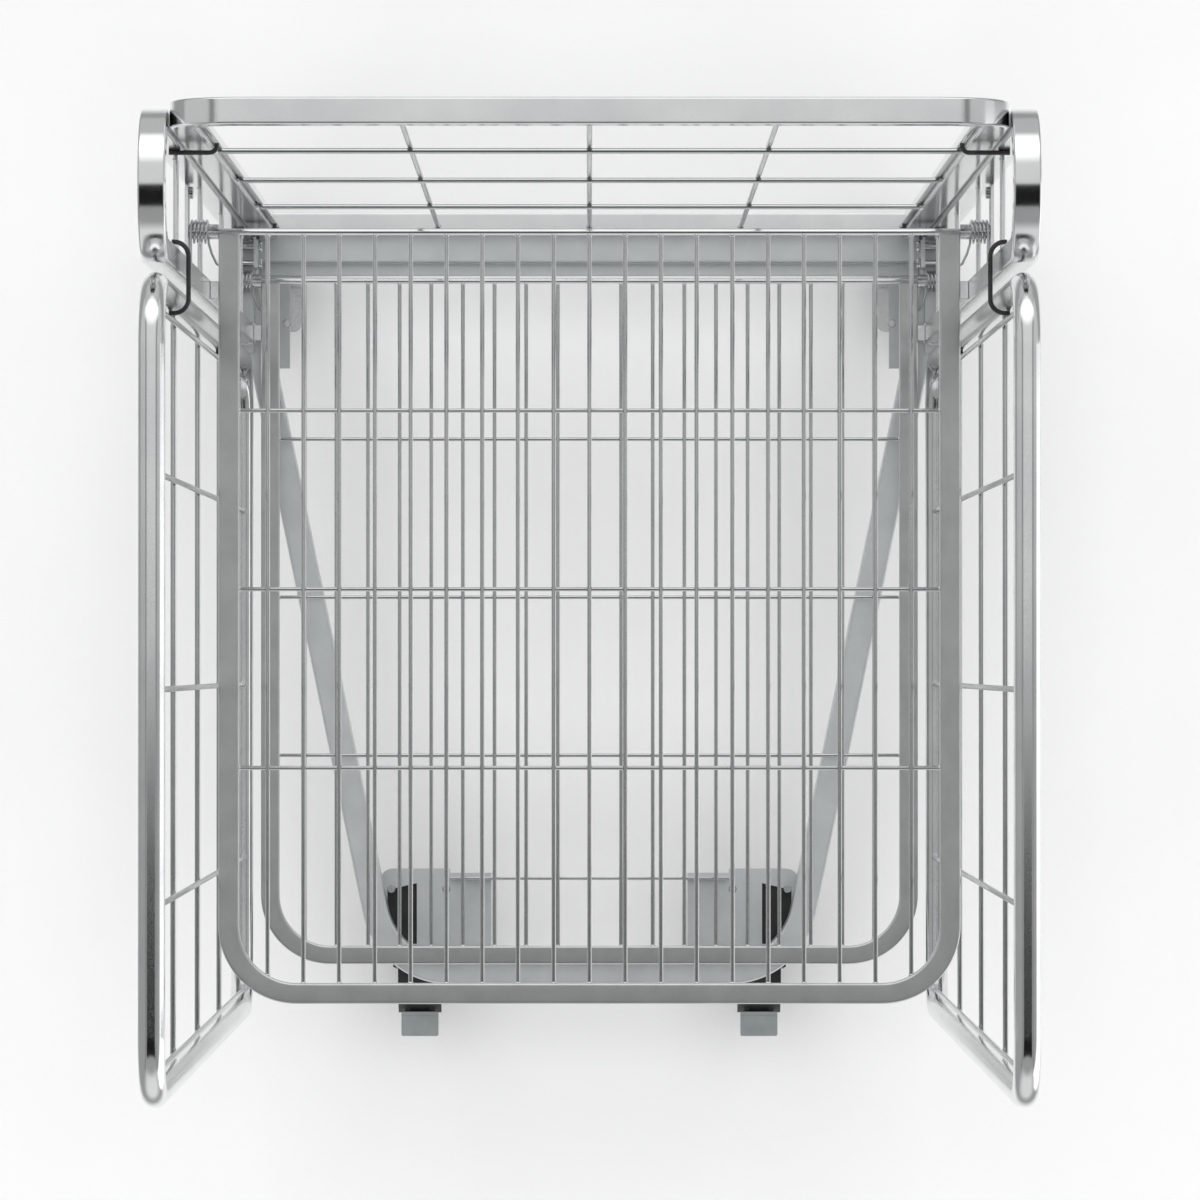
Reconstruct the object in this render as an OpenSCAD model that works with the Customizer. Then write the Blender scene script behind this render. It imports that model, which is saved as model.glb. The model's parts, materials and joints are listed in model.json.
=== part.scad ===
// Nestable wire roll container: tube base on casters, two arched uprights, a rear mesh panel,
// a swinging mesh gate on each side and two fold-up wire shelves on sprung hinge rods.
// Millimetres. The origin is on the floor under the middle, +X right, +Y to the rear, +Z up.

/* [Overall] */
// Width over the side gates
overall_w = 724; // [700:1:760]
// Height to the top of the frames
overall_h = 1800; // [1700:5:1900]
// Rear face of the rear panel
rear_y = 418.5; // [410:0.5:430]

/* [Uprights] */
// Width of the upright tube, across the object
upright_w = 22; // [20:0.5:24]
// Depth of the upright tube, front to rear
upright_d = 20; // [18:0.5:22]
// Corner radius of the square tubes
tube_corner_r = 2; // [1.5:0.5:5]
// Distance between the two leg centres of an upright
leg_spacing = 104; // [100:1:112]
// Step from the rear panel's rear face to the upright's
upright_setback = 5.5; // [2:0.5:8]

/* [Rear panel] */
// Side of the square rear panel tube
panel_tube = 22; // [20:0.5:24]
// Gap between the rear panel and an upright
panel_gap = 1; // [0.5:0.5:3]
// Centreline bend radius of the rear panel's top corners
panel_bend_r = 46; // [40:1:60]
// Height of the panel's bottom bar above the base
panel_bar_rise = 39; // [30:1:60]

/* [Wire mesh] */
// Wire diameter of the gate and panel mesh
mesh_wire = 5; // [4:0.5:6]
// Height of the lowest level wire above the base
mesh_rise = 65; // [55:1:80]
// Height between level wires
mesh_pitch = 390; // [360:5:400]
// Number of level wires
mesh_rows = 4; // [3:1:4]
// Spacing of the standing wires in a gate
gate_wire_pitch = 175; // [150:1:190]
// Spacing of the standing wires in the rear panel
panel_wire_pitch = 152.5; // [130:0.5:155]
// How far crossing wires sink into each other at the weld
weld_depth = 0.6; // [0.4:0.1:1]

/* [Side gates] */
// Diameter of the gate tube
gate_tube = 22; // [20:0.5:24]
// Outside length of a gate
gate_len = 675; // [600:1:690]
// Centreline bend radius of the gate corners
gate_bend_r = 50; // [40:1:70]
// Gap between a gate and the upright
gate_gap = 8; // [6:0.5:12]
// Gap between a gate and the foot plate
gate_lift = 6; // [4:0.5:12]
// Wire diameter of the bent hooks
hook_wire = 4; // [3.5:0.5:6]
// Running gap between a hook and the corner of the upright
hook_gap = 0.4; // [0.3:0.1:1]
// Height of the gates' lower hooks above the base
hook_rise = 560; // [500:5:600]
// Height of the rear panel's lower hooks above the base
rear_hook_rise = 200; // [150:5:300]
// Drop of the upper hooks from the top
hook_drop = 255; // [200:5:300]

/* [Shelves] */
// Gap between a shelf and the hooks beside it
shelf_side_gap = 0.5; // [0.4:0.1:4]
// Shelf reach from the hinge to the front edge
shelf_reach = 691; // [640:1:700]
// Width of the shelf rail
rail_w = 18.5; // [16:0.5:22]
// Height of the shelf rail
rail_h = 12; // [11:0.5:16]
// Centreline radius of the shelf's front corners
shelf_bend_r = 61; // [40:1:90]
// Diameter of the long shelf wires
shelf_wire = 4; // [3:0.25:5]
// Diameter of the cross wires
cross_wire = 3.75; // [3:0.25:5]
// Spacing of the long wires
shelf_wire_pitch = 32; // [28:1:32]
// Spacing of the cross wires, counted from the hinge
cross_wire_pitch = 160; // [120:5:165]
// Number of cross wires
cross_wires = 3; // [2:1:4]
// Height of the deck hinge above the base
deck_rise = 22; // [20:1:30]
// Height from the deck to the upper shelf
shelf_spacing = 868; // [750:1:880]

/* [Hinges] */
// Diameter of the hinge rod
hinge_rod_d = 6; // [5:0.5:8]
// Running gap round the hinge rod
hinge_fit = 0.05; // [0.02:0.01:0.1]
// Outside diameter of the hinge bush
bush_d = 13.5; // [11:0.5:15]
// Thickness of the hinge strap
strap_t = 3; // [2.5:0.5:5]
// Height of the hinge strap
strap_h = 28; // [20:1:30]
// Outside diameter of the torsion spring
spring_od = 22; // [20:0.5:24]
// Wire diameter of the torsion spring
spring_wire = 2.6; // [2:0.1:2.6]
// Full turns of the torsion spring, half a turn is added
spring_turns = 3; // [2:1:3]
// Gap between resting pieces
rest_gap = 0.3; // [0.3:0.1:0.6]

/* [Base] */
// Width of the base tube
base_w = 26; // [22:1:30]
// Height of the base tube
base_h = 40; // [30:1:45]
// Length of the base
base_len = 773.5; // [760:0.5:780]
// Step from the rear panel's rear face to the base's rear end
base_setback = 6.5; // [4:0.5:10]
// Distance between the corner points of the front bar's centreline
base_nose_w = 409.5; // [390:0.5:420]
// Length of the straight rear part of the arms
base_straight = 58.5; // [56:0.5:66]
// Centreline bend radius of the front corners
base_bend_r = 77; // [60:1:90]
// Depth of the rear crossbeam
crossbeam_d = 40; // [30:1:42]
// Width of the crossbeam's front lip
crossbeam_lip = 13; // [8:1:16]
// Thickness of gussets and foot plates
plate_t = 5; // [4:0.5:6]
// Thickness of the tie strip
tie_t = 3; // [2:0.5:4]
// Height of the tie strip
tie_h = 25; // [15:1:30]

/* [Casters] */
// Wheel diameter
wheel_d = 125; // [115:1:130]
// Wheel width
wheel_w = 32; // [30:1:36]
// Diameter of the hub under the tyre
hub_d = 92; // [80:1:96]
// Height from the wheel's top to the caster's top
caster_head = 30; // [30:1:36]
// Thickness of the caster plates
caster_plate_t = 5; // [4:0.5:6]
// Side gap between a wheel and its fork
wheel_gap = 6.5; // [5:0.5:8]
// Thickness of the fork cheeks
fork_t = 4; // [3:0.5:5]
// Axle diameter
axle_d = 12; // [10:0.5:12]
// Running gap round axles and pins
pin_fit = 0.05; // [0.02:0.01:0.1]
// Offset of a front wheel from its swivel axis
swivel_trail = 38; // [34:1:40]
// Distance of the swivel axes inside the corner points of the front bar
swivel_inset = 30.75; // [29:0.25:34]
// Distance of the swivel axes behind the base's front edge
swivel_setback = 65.5; // [62:0.5:68]
// Kingpin diameter
kingpin_d = 12; // [10:0.5:14]
// Reach of the brake pedal in front of the wheel
pedal_reach = 22; // [18:0.5:26]
// Width of the brake pedal
pedal_w = 38; // [34:1:40]
// Distance of the rear casters from the side of the base
rear_caster_inset = 35; // [34:1:40]
// Distance of the rear axle from the base's rear end
rear_axle_setback = 57; // [56:1:66]

/* [Hidden] */
$fn = 48;
LEFT = -1;
RIGHT = 1;
// How far a cut runs past the piece it cuts
cut = 1;
zinc = "gainsboro";
steel_grey = "darkgray";
black = [0.1, 0.1, 0.1];

// Levels
wheel_r = wheel_d / 2;
caster_h = wheel_d + caster_head;
base_z = caster_h + plate_t;
base_top = base_z + base_h;
foot_top = base_top + plate_t;
deck_z = base_top + deck_rise;
shelf_z = deck_z + shelf_spacing;
mesh_levels = [for (i = [0 : mesh_rows - 1]) base_top + mesh_rise + i * mesh_pitch];
hook_levels = [base_top + hook_rise, overall_h - hook_drop];

// Places of the frames
half_w = overall_w / 2;
upright_x = half_w - upright_w / 2;
rear_leg_y = rear_y - upright_setback - upright_d / 2;
front_leg_y = rear_leg_y - leg_spacing;
hinge_y = (front_leg_y + rear_leg_y) / 2;
panel_x = half_w - upright_w - panel_gap - panel_tube / 2;
panel_y = rear_y - panel_tube / 2;
gate_x = half_w - gate_tube / 2;
gate_rear_y = front_leg_y - upright_d / 2 - gate_gap - gate_tube / 2;
gate_front_y = gate_rear_y - gate_len + gate_tube;
gate_low_z = foot_top + gate_lift + gate_tube / 2;
gate_high_z = overall_h - gate_tube / 2;

// The hook runs past the upright's corner, which is the leg's farthest point from its axis
corner_reach = norm([upright_w / 2 - tube_corner_r, upright_d / 2 - tube_corner_r]) + tube_corner_r;
hook_offset = ceil(10 * (corner_reach + hook_gap + hook_wire / 2)) / 10;
hook_x = upright_x - hook_offset;

// Shelves
shelf_half_w = hook_x - hook_wire / 2 - shelf_side_gap;
rail_x = shelf_half_w - rail_w / 2;
// Long wires on each side of the middle one, as many as fit between the rails
shelf_side_wires = floor((rail_x - rail_w / 2 - shelf_wire) / shelf_wire_pitch);
shelf_front_y = hinge_y - shelf_reach + rail_w / 2;
strap_inset = 0.3;
strap_out_x = half_w - strap_inset;
strap_in_x = strap_out_x - strap_t;

// Base
base_rear_y = rear_y - base_setback;
base_front_y = base_rear_y - base_len;
base_splay_y = base_rear_y - base_straight;
base_x = half_w - base_w / 2;
base_bar_y = base_front_y + base_w / 2;
splay = (base_x - base_nose_w / 2) / (base_splay_y - base_bar_y);
splay_angle = atan(splay);
swivel_x = base_nose_w / 2 - swivel_inset;
swivel_y = base_front_y + swivel_setback;
rear_caster_x = half_w - rear_caster_inset;
rear_axle_y = base_rear_y - rear_axle_setback;
crossbeam_y = base_rear_y - crossbeam_d;

// Casters
fork_in = wheel_w / 2 + wheel_gap;
fork_out = fork_in + fork_t;
front_plate_size = [80, 92];
rear_plate_size = [66, 105];
plate_corner_r = 8;
// Half the spacing of the plate bolts, across and along
front_bolts = [28, 30];
rear_bolts = [18, 44];
bolt_d = 8;
bolt_fit = 0.15;
bolt_head_h = 4.5;
// Width of a hexagon over its corners, as a share of the shank
hex_share = 1.6;

// Small helpers
module on_side(side) {
    if (side == LEFT) mirror([1, 0, 0]) children();
    else children();
}

module both_sides() {
    for (side = [LEFT, RIGHT]) on_side(side) children();
}

// Stands a plan shape up: its x runs to the rear and its y up
module side_plane(x) {
    translate([x, 0, 0]) rotate([90, 0, 90]) children();
}

module rounded_rect(size, r) {
    square([size.x - 2 * r, size.y], center = true);
    square([size.x, size.y - 2 * r], center = true);
    for (sx = [-1, 1], sy = [-1, 1]) translate([sx * (size.x / 2 - r), sy * (size.y / 2 - r)]) circle(r);
}

// A round bar from a to b
module rod(a, b, d) {
    v = b - a;
    translate(a) rotate([0, acos(v.z / norm(v)), atan2(v.y, v.x)]) cylinder(d = d, h = norm(v));
}

// A bar along X between two distances from the middle
module x_bar(from, to, y, z, d, fn = $fn) {
    translate([from, y, z]) rotate([0, 90, 0]) cylinder(d = d, h = to - from, $fn = fn);
}

module block(low, high) {
    translate(low) cube(high - low);
}

function heading(a, b) = atan2(b.y - a.y, b.x - a.x);
function turn(a, b, c) = let (u = b - a, v = c - b) atan2(u.x * v.y - u.y * v.x, u * v);
function tangent_len(a, b, c, r) = r * tan(abs(turn(a, b, c)) / 2);

// Bends a bar of the child's section along a flat path, with one radius at every corner
module bent_bar(path, bend_r, closed = false) {
    n = len(path);
    runs = closed ? n : n - 1;
    for (i = [0 : runs - 1]) {
        a = path[i];
        b = path[(i + 1) % n];
        cut_a = closed || i > 0 ? tangent_len(path[(i + n - 1) % n], a, b, bend_r) : 0;
        cut_b = closed || i < runs - 1 ? tangent_len(a, b, path[(i + 2) % n], bend_r) : 0;
        translate([a.x, a.y, 0]) rotate(heading(a, b)) translate([cut_a, 0, 0]) rotate([90, 0, 90])
            linear_extrude(norm(b - a) - cut_a - cut_b) children();
    }
    for (i = [closed ? 0 : 1 : closed ? n - 1 : n - 2]) {
        a = path[(i + n - 1) % n];
        b = path[i];
        c = path[(i + 1) % n];
        angle = turn(a, b, c);
        side = sign(angle);
        translate([b.x, b.y, 0]) rotate(heading(a, b))
            translate([-tangent_len(a, b, c, bend_r), side * bend_r, 0])
            rotate(side > 0 ? -90 : 90 - abs(angle))
            rotate_extrude(angle = abs(angle)) translate([bend_r, 0]) children();
    }
}

// How far the centreline of a round corner lies in from the straight side, at a distance from the other side
function corner_inset(distance, r) = distance < r ? r - sqrt(r * r - (r - distance) * (r - distance)) : 0;

// Base

// Half of the base tube's plan, its centreline moved outwards: an arm, a round corner and half the front bar
arc_steps = 20;
function arc(centre, r, from, to) = [for (i = [0 : arc_steps])
    let (a = from + (to - from) * i / arc_steps) centre + r * [cos(a), sin(a)]];
base_corner = [base_nose_w / 2 - base_bend_r * tan(45 - splay_angle / 2), base_bar_y + base_bend_r];
function base_half(out) = concat(
    [[base_x + out, base_rear_y], [base_x + out, base_splay_y - out * tan(splay_angle / 2)]],
    arc(base_corner, base_bend_r + out, -splay_angle, -90)
);
function backwards(points) = [for (i = [len(points) - 1 : -1 : 0]) points[i]];
function mirrored(points) = [for (p = backwards(points)) [-p.x, p.y]];

module base_tube() {
    outer = base_half(base_w / 2);
    inner = base_half(-base_w / 2);
    color(steel_grey) translate([0, 0, base_z]) linear_extrude(base_h)
        polygon(concat(outer, mirrored(outer), backwards(concat(inner, mirrored(inner)))));
}

module rear_crossbeam() {
    end_x = base_x - base_w / 2;
    lip_t = 3;
    color(steel_grey) {
        block([-end_x, crossbeam_y, base_z], [end_x, base_rear_y, base_top]);
        block([-end_x, crossbeam_y - crossbeam_lip, base_z], [end_x, crossbeam_y, base_z + lip_t]);
    }
}

gusset_w = 114;
gusset_overhang = 5;
gusset_step = [32, 4.5];
gusset_corner_r = 14;
gusset_out_x = swivel_x + front_plate_size.x / 2;
gusset_in_x = gusset_out_x - gusset_w;
gusset_rear_y = swivel_y + front_plate_size.y / 2 + gusset_overhang;
gusset_step_x = swivel_x - gusset_step.x;
// Corners of the window in the gusset, from the swivel axis
gusset_window = [[2, -26], [32, -26], [32, 29], [2, 36]];
// The front edge follows the base tube's outer edge, a little inside it
gusset_inset = 2;
gusset_nose_r = base_bend_r + base_w / 2 - gusset_inset;
gusset_nose = arc(base_corner, gusset_nose_r, -acos((gusset_out_x - base_corner.x) / gusset_nose_r), -90);
tie_setback = 9.5;
tie_y = gusset_rear_y - tie_setback;

module front_gusset(side) {
    color(steel_grey) on_side(side) difference() {
        translate([0, 0, caster_h]) linear_extrude(plate_t) difference() {
            union() {
                polygon(concat(backwards(gusset_nose), [
                    [gusset_out_x, gusset_rear_y - gusset_corner_r],
                    [gusset_out_x - gusset_corner_r, gusset_rear_y - gusset_corner_r],
                    [gusset_out_x - gusset_corner_r, gusset_rear_y], [gusset_step_x, gusset_rear_y],
                    [gusset_step_x, gusset_rear_y - gusset_step.y],
                    [gusset_in_x, gusset_rear_y - gusset_step.y],
                    [gusset_in_x, base_front_y + gusset_inset]
                ]));
                translate([gusset_out_x - gusset_corner_r, gusset_rear_y - gusset_corner_r])
                    circle(gusset_corner_r);
            }
            translate([swivel_x, swivel_y]) polygon(gusset_window);
        }
        bolt_holes([swivel_x, swivel_y], front_bolts);
    }
}

module tie_strip() {
    corner = [gusset_step_x, tie_t / 2, 0];
    middle = [0, tie_y, base_z];
    color(zinc) block(middle - corner, middle + corner + [0, 0, tie_h]);
}

rear_gusset_w = 56.5;
rear_gusset_reach = 90;

module rear_gusset(side) {
    color(steel_grey) on_side(side) difference() {
        block([half_w - rear_gusset_w, rear_axle_y - rear_gusset_reach, caster_h],
              [half_w, base_rear_y, base_z]);
        bolt_holes([rear_caster_x, rear_axle_y], rear_bolts);
    }
}

module foot_plates() {
    color(steel_grey) both_sides()
        block([half_w - upright_w, front_leg_y - upright_d, base_top],
              [half_w, rear_leg_y + upright_d / 2, foot_top]);
}

// Uprights and rear panel

upright_path = [
    [front_leg_y, foot_top], [front_leg_y, overall_h - upright_d / 2],
    [rear_leg_y, overall_h - upright_d / 2], [rear_leg_y, foot_top]
];

// A hair of straight tube is left at the top of the arch
arch_flat = 0.02;

module upright_tube() {
    side_plane(upright_x) bent_bar(upright_path, (leg_spacing - arch_flat) / 2)
        rounded_rect([upright_d, upright_w], tube_corner_r);
}

module upright(side) {
    color(zinc) on_side(side) {
        upright_tube();
        for (z = mesh_levels) rod([upright_x, front_leg_y, z], [upright_x, rear_leg_y, z], mesh_wire);
    }
}

module panel_tubes() {
    top_z = overall_h - panel_tube / 2;
    rotate([90, 0, 0]) translate([0, 0, -panel_y]) {
        bent_bar([[-panel_x, base_top], [-panel_x, top_z], [panel_x, top_z], [panel_x, base_top]], panel_bend_r)
            rounded_rect([panel_tube, panel_tube], tube_corner_r);
        bar_z = base_top + panel_bar_rise;
        bent_bar([[-panel_x, bar_z], [panel_x, bar_z]], panel_bend_r)
            rounded_rect([panel_tube, panel_tube], tube_corner_r);
    }
}

module rear_panel_frame() {
    color(zinc) panel_tubes();
}

mesh_inset = 1;

module rear_panel_mesh() {
    level_y = panel_y - panel_tube / 2 + mesh_inset + mesh_wire / 2;
    standing_y = level_y + mesh_wire - weld_depth;
    border_x = panel_x - panel_tube / 2 - mesh_wire / 2;
    color(zinc) difference() {
        union() {
            for (z = mesh_levels) rod([-panel_x, level_y, z], [panel_x, level_y, z], mesh_wire);
            for (x = [-border_x, -panel_wire_pitch, 0, panel_wire_pitch, border_x]) {
                top_z = overall_h - panel_tube / 2 - corner_inset(panel_x - abs(x), panel_bend_r);
                rod([x, standing_y, base_top + panel_bar_rise], [x, standing_y, top_z], mesh_wire);
            }
        }
        panel_tubes();
    }
}

// Plain bent hooks that hold the rear panel's legs
module rear_hooks() {
    y = rear_leg_y - upright_d / 2 - hook_wire / 2;
    inner_x = panel_x - panel_tube / 2;
    bend_r = 6;
    tip_len = 2;
    tip = [inner_x - bend_r, y + bend_r + tip_len];
    levels = [base_top + rear_hook_rise, hook_levels[1]];
    color(black) both_sides() for (z = levels) translate([0, 0, z])
        bent_bar([[upright_x, y], [tip.x, y], tip], bend_r) circle(d = hook_wire);
}

// Hinges

module hinge_strap(side, z) {
    on_side(side) difference() {
        block([strap_in_x, front_leg_y, z - strap_h / 2], [strap_out_x, rear_leg_y, z + strap_h / 2]);
        upright_tube();
        x_bar(strap_in_x - cut, strap_out_x + cut, hinge_y, z, hinge_rod_d + 2 * hinge_fit);
        for (y = pin_places(z)) x_bar(strap_in_x - cut, strap_out_x + cut, y, z, pin_d + 2 * pin_fit);
    }
}

pin_d = 6;
pin_head_d = 11;
pin_head_h = 4;
bracket_t = 4;
bracket_h = 40;
bracket_gap = 1;
bracket_spring_gap = 2;
// Distance of the pins from the bracket's rear and front edges
pin_edges = [6, 5];
bracket_out_x = half_w - upright_w - bracket_gap;
bracket_in_x = bracket_out_x - bracket_t;
bracket_front_y = hinge_y + spring_od / 2 + bracket_spring_gap;
bracket_rear_y = rear_leg_y - upright_d / 2 - bracket_gap;
rear_pin_y = bracket_rear_y - pin_edges[0];
front_pin_y = bracket_front_y + pin_edges[1];

function pin_places(z) = z == deck_z ? [front_pin_y, rear_pin_y] : [rear_pin_y];

module shelf_hinge_straps() {
    color(zinc) for (side = [LEFT, RIGHT]) hinge_strap(side, shelf_z);
}

module deck_hinge_straps() {
    color(zinc) for (side = [LEFT, RIGHT]) hinge_strap(side, deck_z);
}

module deck_brackets() {
    color(steel_grey) both_sides() difference() {
        block([bracket_in_x, bracket_front_y, base_top], [bracket_out_x, bracket_rear_y, base_top + bracket_h]);
        for (y = pin_places(deck_z))
            x_bar(bracket_in_x - cut, bracket_out_x + cut, y, deck_z, pin_d + 2 * pin_fit);
    }
}

// Headed pins: the deck's reach through the brackets, the shelf's end at the strap
module hinge_pins() {
    color(zinc) both_sides() for (z = [shelf_z, deck_z], y = pin_places(z)) {
        seat_x = z == deck_z ? bracket_in_x : strap_in_x;
        x_bar(seat_x, strap_out_x, y, z, pin_d);
        x_bar(seat_x - pin_head_h, seat_x, y, z, pin_head_d);
    }
}

// Lugs on the front legs carry the rails, and small rests carry the lower gate hooks
module stop_lugs() {
    lug_d = upright_d - 2 * tube_corner_r;
    lug_t = 6;
    lug_past = 2;
    lug_lap = rail_w / 2 + lug_past;
    rest_gap_x = 2;
    rail_low = [shelf_z, deck_z] - [1, 1] * rail_h / 2;
    color(zinc) both_sides() {
        for (z = rail_low) lug(shelf_half_w - lug_lap, z - rest_gap, lug_d, lug_t);
        lug(shelf_half_w + rest_gap_x, hook_levels[0] - hook_wire / 2 - rest_gap, lug_d, lug_t);
    }
}

// A block on the inside of the front leg, from a distance from the middle, under a level
module lug(from_x, top, depth, thick) {
    block([from_x, front_leg_y - depth / 2, top - thick], [half_w - upright_w, front_leg_y + depth / 2, top]);
}

// Rubber buffers on the arms, under the deck's rails
module deck_buffers() {
    buffer_d = 16;
    buffer_y = base_splay_y - (base_x - rail_x) / splay;
    color(black) both_sides() translate([rail_x, buffer_y, base_top])
        cylinder(d = buffer_d, h = deck_rise - rail_h / 2 - rest_gap);
}

// Torsion springs, one unbroken wire each, with an arm under the rail and an arm on the front leg

spring_r = (spring_od - spring_wire) / 2;
spring_bracket_gap = 1;
spring_strap_gap = 1;
spring_in_x = bracket_out_x + spring_bracket_gap + spring_wire / 2;
spring_out_x = strap_in_x - spring_strap_gap - spring_wire / 2;
spring_angle = 360 * (spring_turns + 0.5);
spring_steps = 8 * (spring_turns + 0.5);
// The arms run forwards: one turns in under the rail, the other ends on the leg
spring_arm = 34;
arm_lap = rail_w / 2;
arm_slope = 6;
arm_lead = 10;
arm_z = -rail_h / 2 - rest_gap - spring_wire / 2;
leg_face_y = front_leg_y + upright_d / 2 + rest_gap - hinge_y;

// Centre points, with the hinge axis at y = 0 and z = 0
spring_route = concat(
    [[shelf_half_w - arm_lap - spring_wire, -spring_arm, arm_z], [shelf_half_w - arm_lap, -spring_arm, arm_z],
     [shelf_half_w + spring_wire, arm_slope - spring_arm, -spring_r], [spring_in_x, -arm_lead, -spring_r]],
    [for (i = [0 : spring_steps]) let (a = -90 + spring_angle * i / spring_steps)
        [spring_in_x + (spring_out_x - spring_in_x) * i / spring_steps, spring_r * cos(a), spring_r * sin(a)]],
    [[spring_out_x, -arm_lead, spring_r], [spring_out_x, leg_face_y + spring_wire, spring_r],
     [spring_out_x, leg_face_y, spring_r]]
);

function unit(v) = v / norm(v);
function route_dir(p, i) = unit(p[min(i + 1, len(p) - 1)] - p[max(i - 1, 0)]);
// The rings share one side direction, kept square to the route
function ring_side(dir) = let (up = abs(dir.x) > 0.9 ? [0, 0, 1] : [1, 0, 0]) unit(cross(up, dir));
function carry_side(p, i) = i == 0 ? ring_side(route_dir(p, 0))
    : let (prev = carry_side(p, i - 1), dir = route_dir(p, i)) unit(prev - dir * (prev * dir));

module swept_wire(p, d, sides = 6) {
    n = len(p);
    points = [for (i = [0 : n - 1]) let (dir = route_dir(p, i), u = carry_side(p, i), v = cross(dir, u))
        for (k = [0 : sides - 1]) p[i] + d / 2 * (u * cos(360 * k / sides) + v * sin(360 * k / sides))];
    walls = [for (i = [0 : n - 2], k = [0 : sides - 1])
        let (a = i * sides + k, b = i * sides + (k + 1) % sides, c = a + sides, e = b + sides)
        each [[a, c, b], [b, c, e]]];
    caps = [for (k = [1 : sides - 2]) each [[0, k, k + 1],
        [(n - 1) * sides, (n - 1) * sides + k + 1, (n - 1) * sides + k]]];
    polyhedron(points, concat(walls, caps));
}

// Least gap between turns: points at least half a turn apart along the wire
spring_self_gap = min([for (i = [0 : len(spring_route) - 5], j = [i + 4 : len(spring_route) - 1])
    norm(spring_route[i] - spring_route[j])]) - spring_wire;
echo(spring_self_gap = spring_self_gap);

module torsion_spring(side, z) {
    color(zinc) on_side(side) translate([0, hinge_y, z]) swept_wire(spring_route, spring_wire);
}

// Shelves

module shelf_rails(z) {
    edge_r = 2;
    // Depth of the saddle that seats each rail on the hinge rod
    saddle = 0.5;
    end_y = hinge_y - hinge_rod_d / 2 + saddle;
    path = [[rail_x, end_y], [rail_x, shelf_front_y], [-rail_x, shelf_front_y], [-rail_x, end_y]];
    translate([0, 0, z]) difference() {
        bent_bar(path, shelf_bend_r) rounded_rect([rail_w, rail_h], edge_r);
        x_bar(-half_w, half_w, hinge_y, 0, hinge_rod_d + 2 * hinge_fit);
    }
}

module fold_frame(z) {
    color(steel_grey) shelf_rails(z);
}

module fold_grid(z) {
    low_z = z - (shelf_wire + cross_wire) / 2 + weld_depth;
    color(zinc) difference() {
        union() {
            for (k = [-shelf_side_wires : shelf_side_wires]) {
                x = k * shelf_wire_pitch;
                front_y = shelf_front_y + corner_inset(rail_x - abs(x), shelf_bend_r);
                rod([x, front_y, z], [x, hinge_y, z], shelf_wire);
            }
            for (i = [1 : cross_wires]) {
                y = hinge_y - i * cross_wire_pitch;
                rod([-rail_x, y, low_z], [rail_x, y, low_z], cross_wire);
            }
        }
        shelf_rails(z);
        x_bar(-half_w, half_w, hinge_y, z, hinge_rod_d);
    }
}

module fold_rod(z) {
    color(zinc) x_bar(-strap_out_x, strap_out_x, hinge_y, z, hinge_rod_d);
}

module fold_bushes(z) {
    color(steel_grey) both_sides() difference() {
        x_bar(shelf_half_w, strap_in_x - rest_gap, hinge_y, z, bush_d);
        x_bar(shelf_half_w - cut, strap_in_x + cut, hinge_y, z, hinge_rod_d + 2 * hinge_fit);
    }
}

// Side gates

gate_path = [
    [gate_front_y, gate_low_z], [gate_rear_y, gate_low_z],
    [gate_rear_y, gate_high_z], [gate_front_y, gate_high_z]
];

module gate_loop() {
    side_plane(gate_x) bent_bar(gate_path, gate_bend_r, closed = true) circle(d = gate_tube);
}

module gate_frame(side) {
    color(zinc) on_side(side) gate_loop();
}

module gate_mesh(side) {
    layer = (mesh_wire - weld_depth) / 2;
    middle_y = (gate_front_y + gate_rear_y) / 2;
    border = gate_tube / 2 + hook_wire + mesh_inset + mesh_wire / 2;
    standing_y = concat([gate_front_y + border, gate_rear_y - border],
        [for (k = [-1 : 1]) middle_y + k * gate_wire_pitch]);
    level_x = gate_x + layer;
    standing_x = gate_x - layer;
    color(zinc) on_side(side) difference() {
        union() {
            for (z = mesh_levels) rod([level_x, gate_front_y, z], [level_x, gate_rear_y, z], mesh_wire);
            for (y = standing_y) {
                inset = corner_inset(min(y - gate_front_y, gate_rear_y - y), gate_bend_r);
                rod([standing_x, y, gate_low_z + inset], [standing_x, y, gate_high_z - inset], mesh_wire);
            }
        }
        gate_loop();
    }
}

// A bent rod welded to the front of the gate's rear leg, round the inside of the upright's front leg
module gate_hooks(side) {
    start = [gate_x, gate_rear_y - (gate_tube + hook_wire) / 2];
    bend_r = 12;
    tip_len = 2;
    end_gap = 1;
    end_y = front_leg_y + hook_offset + end_gap;
    path = [start, [hook_x, start.y], [hook_x, end_y], [hook_x + bend_r + tip_len, end_y]];
    color(black) on_side(side) for (z = hook_levels) translate([0, 0, z])
        bent_bar(path, bend_r) circle(d = hook_wire);
}

// Casters, drawn round an axis at x = 0, y = 0 and then placed

module at_front(side) {
    translate([side * swivel_x, swivel_y, 0]) on_side(side) children();
}

module at_rear(side) {
    translate([side * rear_caster_x, rear_axle_y, 0]) on_side(side) children();
}

module bolt_holes(place, spread) {
    for (sx = [-1, 1], sy = [-1, 1])
        translate([place.x + sx * spread.x, place.y + sy * spread.y, caster_h - caster_plate_t - cut])
            cylinder(d = bolt_d + 2 * bolt_fit, h = caster_plate_t + plate_t + 2 * cut);
}

module bolts(spread) {
    low_z = caster_h - caster_plate_t;
    for (sx = [-1, 1], sy = [-1, 1]) translate([sx * spread.x, sy * spread.y, 0]) {
        translate([0, 0, low_z - bolt_head_h]) cylinder(d = hex_share * bolt_d, h = bolt_head_h, $fn = 6);
        translate([0, 0, low_z - bolt_head_h]) cylinder(d = bolt_d, h = bolt_head_h + caster_plate_t + plate_t);
    }
}

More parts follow.
